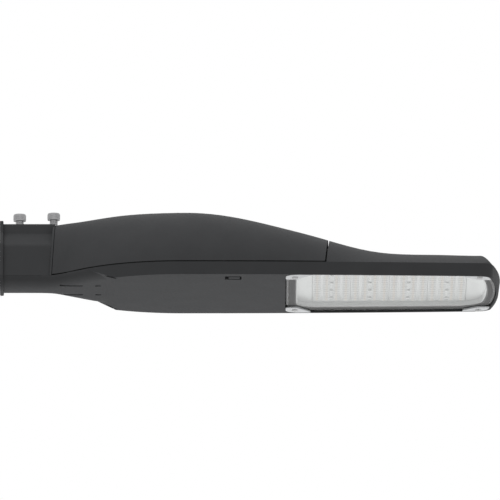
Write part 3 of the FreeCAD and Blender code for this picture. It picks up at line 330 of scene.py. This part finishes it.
def rolled_aluminium():
    """Rolled aluminium sheet with a lengthwise grain."""
    material, shader = new_material("rolled_aluminium", metallic=1.0)
    streaks = noise(material, scale=500.0, grain=ROLLED_GRAIN)
    vary_colour(material, shader, streaks, low=(0.62, 0.62, 0.63), high=(0.74, 0.74, 0.75))
    vary_roughness(material, shader, streaks, low=0.3, high=0.46)
    return material


def zinc_sheet():
    """Zinc-coated sheet with a faint spangle."""
    material, shader = new_material("zinc_sheet", metallic=1.0)
    spangle = noise(material, scale=140.0, detail=1.0)
    vary_colour(material, shader, spangle, low=(0.5, 0.51, 0.52), high=(0.64, 0.65, 0.66))
    vary_roughness(material, shader, spangle, low=0.34, high=0.5)
    return material


def gear_case():
    """Satin light case of the control gear."""
    material, shader = new_material("gear_case")
    tint = noise(material, scale=80.0)
    vary_colour(material, shader, tint, low=(0.7, 0.7, 0.69), high=(0.77, 0.77, 0.76))
    vary_roughness(material, shader, noise(material, scale=400.0), low=0.36, high=0.48)
    add_relief(material, shader, scale=1600.0, strength=0.1)
    return material


def terminal_plastic():
    """Grey moulded plastic of the terminals."""
    material, shader = new_material("terminal_plastic")
    tint = noise(material, scale=150.0)
    vary_colour(material, shader, tint, low=(0.26, 0.26, 0.27), high=(0.33, 0.33, 0.34))
    vary_roughness(material, shader, noise(material, scale=500.0), low=0.42, high=0.56)
    return material


MAKERS = {
    "powder_coat": powder_coat,
    "rubber": rubber,
    "silicone": silicone,
    "steel": stainless,
    "clear_glass": clear_glass,
    "clamp_plastic": clamp_plastic,
    "white_plastic": white_plastic,
    "lens_plastic": lens_plastic,
    "board": board,
    "bare_aluminium": rolled_aluminium,
    "sheet_steel": zinc_sheet,
    "gear_case": gear_case,
    "terminal_plastic": terminal_plastic,
}
SMALL_SCREWS = {"lens_screws": white_lacquer, "glass_clamp_screws": nickel}
finishes = {slot: maker() for slot, maker in MAKERS.items()}


def dress_nodes():
    """Every solid takes the finish of its slot, and the small screws their own."""
    for part in frame["record"]["subparts"]:
        mesh = nodes[part["node"]].data
        mesh.materials.clear()
        mesh.materials.append(finishes[part["material_slot"]])
    for name, maker in SMALL_SCREWS.items():
        nodes[name].data.materials[0] = maker()
    nodes["glass"].visible_shadow = False


# Added pieces

def new_object(name, data):
    """Object in the scene that shows the data."""
    thing = bpy.data.objects.new(name, data)
    bpy.context.scene.collection.objects.link(thing)
    return thing


def add_piece(name, build, slot, body, smooth=True):
    """Piece whose shape a function builds, in a slot's finish, riding on a body."""
    mesh = bpy.data.meshes.new(name)
    shape = bmesh.new()
    build(shape)
    bmesh.ops.recalc_face_normals(shape, faces=shape.faces[:])
    shape.to_mesh(mesh)
    shape.free()
    piece = new_object(name, mesh)
    mesh.materials.append(finishes[slot])
    for face in mesh.polygons:
        face.use_smooth = smooth
    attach(piece, body)
    return piece


def loops_to_faces(shape, loops):
    """Quads between closed loops of vertices, in order."""
    for first, second in zip(loops, loops[1:]):
        for i in range(len(first)):
            after = (i + 1) % len(first)
            shape.faces.new((first[i], first[after], second[after], second[i]))


def dome(shape, warm, centre):
    """Low dome below a centre, with a warm line across its middle."""
    levels = [(DOME_RADIUS, -DOME_ROOT)]
    for ring in range(DOME_RINGS):
        turn = math.pi / 2 * ring / DOME_RINGS
        levels.append((DOME_RADIUS * math.cos(turn), DOME_HEIGHT * math.sin(turn)))
    rings = []
    for radius, drop in levels:
        row = []
        for side in range(DOME_SIDES):
            angle = 2 * math.pi * side / DOME_SIDES
            place = centre + Vector((radius * math.cos(angle), radius * math.sin(angle), -drop))
            vertex = shape.verts.new(place)
            vertex[warm] = max(0.0, 1.0 - (radius * math.cos(angle) / WARM_HALF) ** 2)
            row.append(vertex)
        rings.append(row)
    tip = shape.verts.new(centre + Vector((0, 0, -DOME_HEIGHT)))
    tip[warm] = 1.0
    loops_to_faces(shape, rings[::-1])
    for side in range(DOME_SIDES):
        shape.faces.new((rings[-1][(side + 1) % DOME_SIDES], rings[-1][side], tip))
    shape.faces.new(rings[0])


def dome_grid(node):
    """Function that builds a grid of domes under a lens plate."""
    low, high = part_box(node)
    middle = (low + high) / 2
    columns = round((high.x - low.x) / DOME_PITCH)
    rows = round((high.y - low.y) / DOME_PITCH)

    def build(shape):
        warm = shape.verts.layers.float.new("warm")
        for column in range(columns):
            for row in range(rows):
                x = middle.x + (column - (columns - 1) / 2) * DOME_PITCH
                y = middle.y + (row - (rows - 1) / 2) * DOME_PITCH
                dome(shape, warm, Vector((x, y, low.z)))

    return build


def around(x, radius, angle, z):
    """Point at an angle round a screw's axis."""
    return x + radius * math.cos(angle), radius * math.sin(angle), z


def thread(x, z_low, z_high):
    """Function that builds a closed thread ridge round a screw shank."""
    def build(shape):
        steps = int((z_high - z_low - THREAD_PITCH) / THREAD_PITCH * THREAD_STEPS)
        loops = []
        for step in range(steps + 1):
            angle = 2 * math.pi * step / THREAD_STEPS
            z = z_low + THREAD_PITCH * step / THREAD_STEPS
            corners = (
                (SHANK_RADIUS - THREAD_HEIGHT, z),
                (SHANK_RADIUS + THREAD_HEIGHT, z + THREAD_BASE / 2),
                (SHANK_RADIUS - THREAD_HEIGHT, z + THREAD_BASE),
            )
            loops.append([shape.verts.new(around(x, radius, angle, rise)) for radius, rise in corners])
        loops_to_faces(shape, loops)
        shape.faces.new(reversed(loops[0]))
        shape.faces.new(loops[-1])

    return build


def knurl(x, under):
    """Function that builds a closed knurled band round a screw head."""
    def build(shape):
        loops = []
        for base, z in (
            (HEAD_RADIUS - KNURL_ROOT, KNURL_Z[0]),
            (HEAD_RADIUS, KNURL_Z[0]),
            (HEAD_RADIUS, KNURL_Z[1]),
            (HEAD_RADIUS - KNURL_ROOT, KNURL_Z[1]),
        ):
            loop = []
            for i in range(2 * KNURL_TEETH):
                tooth = KNURL_HEIGHT if i % 2 and base == HEAD_RADIUS else 0.0
                angle = math.pi * i / KNURL_TEETH
                loop.append(shape.verts.new(around(x, base + tooth, angle, under + z)))
            loops.append(loop)
        loops_to_faces(shape, loops + loops[:1])

    return build


def rounded_loop(shape, low, high, inset, z):
    """Loop of vertices round a rectangle with rounded corners."""
    loop = []
    corner = LID_CORNER
    for turn, (x, y) in enumerate((
        (high.x - inset - corner, high.y - inset - corner),
        (low.x + inset + corner, high.y - inset - corner),
        (low.x + inset + corner, low.y + inset + corner),
        (high.x - inset - corner, low.y + inset + corner),
    )):
        for step in range(LID_STEPS + 1):
            angle = math.pi / 2 * (turn + step / LID_STEPS)
            place = (x + corner * math.cos(angle), y + corner * math.sin(angle), z)
            loop.append(shape.verts.new(place))
    return loop


def lid(node, ends):
    """Function that builds a raised lid with sloped edges on a gear case, clear of its ends."""
    low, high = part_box(node)
    low.x += ends
    high.x -= ends

    def build(shape):
        base = rounded_loop(shape, low, high, LID_INSET, high.z)
        top = rounded_loop(shape, low, high, LID_INSET + LID_SLOPE, high.z + LID_HEIGHT)
        loops_to_faces(shape, [base, top])
        shape.faces.new(top)
        shape.faces.new(reversed(base))

    return build


def block(shape, low, high):
    """Block between two corners."""
    corners = ((low[0], low[1]), (high[0], low[1]), (high[0], high[1]), (low[0], high[1]))
    loops = [[shape.verts.new((x, y, z)) for x, y in corners] for z in (low[2], high[2])]
    loops_to_faces(shape, loops)
    shape.faces.new(reversed(loops[0]))
    shape.faces.new(loops[1])


def latch_bar(shape):
    """Latch slider with its narrow bar, flange and post."""
    low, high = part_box("latch_slider")
    middle = (low.y + high.y) / 2
    face_end = high.x - LATCH_FLANGE_WIDTH
    floor_z = low.z + LATCH_FLOOR_THICKNESS
    flange_top = floor_z + LATCH_FLANGE_THICKNESS
    inside = (floor_z + flange_top) / 2
    block(
        shape,
        (low.x + LATCH_FLANGE_WIDTH + LATCH_BAR_GAP_REAR, middle - LATCH_BAR_HALF, low.z),
        (face_end - LATCH_BAR_GAP_FRONT, middle + LATCH_BAR_HALF, inside),
    )
    block(shape, (low.x, low.y, floor_z), (high.x + LATCH_FLANGE_LEAD, high.y, flange_top))
    block(
        shape,
        (face_end - LATCH_POST_LENGTH, middle - LATCH_POST_HALF, inside),
        (face_end, middle + LATCH_POST_HALF, high.z),
    )
    bmesh.ops.bevel(
        shape,
        geom=shape.edges[:],
        offset=LATCH_ROUND,
        segments=LATCH_ROUND_STEPS,
        profile=LATCH_ROUND_PROFILE,
        affect="EDGES",
    )


def rear_lip(shape):
    """Lip drawn out of the cover's rear edge, set in from its outer surface."""
    cover = nodes["top_cover"].data
    for face in cover.polygons:
        in_edge = face.normal.x < LIP_NORMAL_X and face.center.x < LIP_FRONT_X
        if in_edge and LIP_Z[0] < face.center.z < LIP_Z[1]:
            shape.faces.new([shape.verts.new(cover.vertices[i].co) for i in face.vertices])
    bmesh.ops.remove_doubles(shape, verts=shape.verts[:], dist=LIP_MERGE)
    drawn = bmesh.ops.extrude_face_region(shape, geom=shape.faces[:], use_keep_orig=True)
    for element in drawn["geom"]:
        if isinstance(element, bmesh.types.BMVert):
            element.co.x -= LIP_DEPTH
            element.co.y *= LIP_SHARE_Y


def add_lens_domes():
    """Domes of the lens plates."""
    for number in range(1, LENS_PLATES + 1):
        grid = dome_grid(f"lens_plate_{number}")
        add_piece(f"lens_domes_{number}", grid, "lens_plastic", "body")


def add_screw_details():
    """Threads and knurls of the two pole screws."""
    for number, (x, under) in enumerate(SCREWS, start=1):
        add_piece(f"pole_screw_thread_{number}", thread(x, PAD_TOP, under), "steel", "body")
        add_piece(f"pole_screw_knurl_{number}", knurl(x, under), "steel", "body", smooth=False)


def add_gear_lids():
    """Lids on the driver and the surge protector."""
    for node, ends in (("driver", DRIVER_EAR), ("surge_protector", 0.0)):
        add_piece(f"{node}_lid", lid(node, ends), "gear_case", "body", smooth=False)


def add_latch_bar():
    """Stepped latch slider in place of the plain one."""
    piece = add_piece("latch_bar", latch_bar, "powder_coat", "latch", smooth=False)
    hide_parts("latch_slider")


def add_rear_lip():
    """Lip of the gear cover."""
    add_piece("cover_rear_lip", rear_lip, "powder_coat", "cover", smooth=False)


# Stage

def aim(thing, place, direction):
    """Puts a thing at a place, looking in a direction."""
    thing.location = place
    thing.rotation_mode = "QUATERNION"
    thing.rotation_quaternion = direction.to_track_quat("-Z", "Y")


def add_camera():
    """Camera at the photograph's viewing angle."""
    data = bpy.data.cameras.new("camera")
    data.sensor_width = SENSOR_WIDTH
    data.lens = SENSOR_WIDTH * CAMERA_DISTANCE / FIELD_WIDTH
    data.clip_end = CAMERA_REACH
    camera = new_object("camera", data)
    back = Vector((0.0, -math.cos(CAMERA_ELEVATION), math.sin(CAMERA_ELEVATION)))
    aim(camera, TARGET + back * CAMERA_DISTANCE, -back)
    bpy.context.scene.camera = camera


def add_floor():
    """Pale floor far below, as under a lamp on a pole."""
    bpy.ops.mesh.primitive_circle_add(
        vertices=FLOOR_SIDES,
        radius=FLOOR_RADIUS,
        fill_type="NGON",
        location=FLOOR_CENTRE,
    )
    floor = bpy.context.object
    floor.name = "floor"
    material, shader = new_material("floor")
    tint = noise(material, scale=0.3)
    vary_colour(material, shader, tint, low=(0.82, 0.82, 0.82), high=(0.84, 0.84, 0.84))
    shader.inputs["Roughness"].default_value = 0.9
    floor.data.materials.append(material)


def add_world():
    """White surroundings for the camera and reflections, a lower even light for the object."""
    world = bpy.data.worlds.new("studio")
    world.use_nodes = True
    world.cycles.sampling_method = "NONE"
    bpy.context.scene.world = world
    tree = world.node_tree
    even = tree.nodes["Background"]
    even.inputs["Color"].default_value = WHITE
    even.inputs["Strength"].default_value = AMBIENT
    white = tree.nodes.new("ShaderNodeBackground")
    white.inputs["Color"].default_value = WHITE
    path = tree.nodes.new("ShaderNodeLightPath").outputs
    direct = calculate(tree, "MAXIMUM", path["Is Camera Ray"], path["Is Glossy Ray"])
    sharp = calculate(tree, "MAXIMUM", direct.outputs["Value"], path["Is Transmission Ray"])
    straight = calculate(tree, "LESS_THAN", path["Diffuse Depth"])
    straight.inputs[1].default_value = FIRST_BOUNCE
    seen = calculate(tree, "MULTIPLY", sharp.outputs["Value"], straight.outputs["Value"])
    mix = tree.nodes.new("ShaderNodeMixShader")
    tree.links.new(seen.outputs["Value"], mix.inputs["Fac"])
    tree.links.new(even.outputs["Background"], mix.inputs[1])
    tree.links.new(white.outputs["Background"], mix.inputs[2])
    tree.links.new(mix.outputs["Shader"], tree.nodes["World Output"].inputs["Surface"])


def add_lamp(name, place, size, power):
    """Large soft lamp that points at the object."""
    data = bpy.data.lights.new(name, "AREA")
    data.shape = "DISK"
    data.size = size
    data.energy = power
    lamp = new_object(name, data)
    aim(lamp, place, TARGET - Vector(place))
    lamp.visible_camera = False
    lamp.visible_glossy = False
    lamp.visible_transmission = False


dress_nodes()
add_lens_domes()
add_screw_details()
add_gear_lids()
add_latch_bar()
add_rear_lip()
add_camera()
add_floor()
add_world()
for lamp_name, lamp_values in LAMPS.items():
    add_lamp(lamp_name, *lamp_values)
bpy.context.scene.view_settings.view_transform = "Standard"
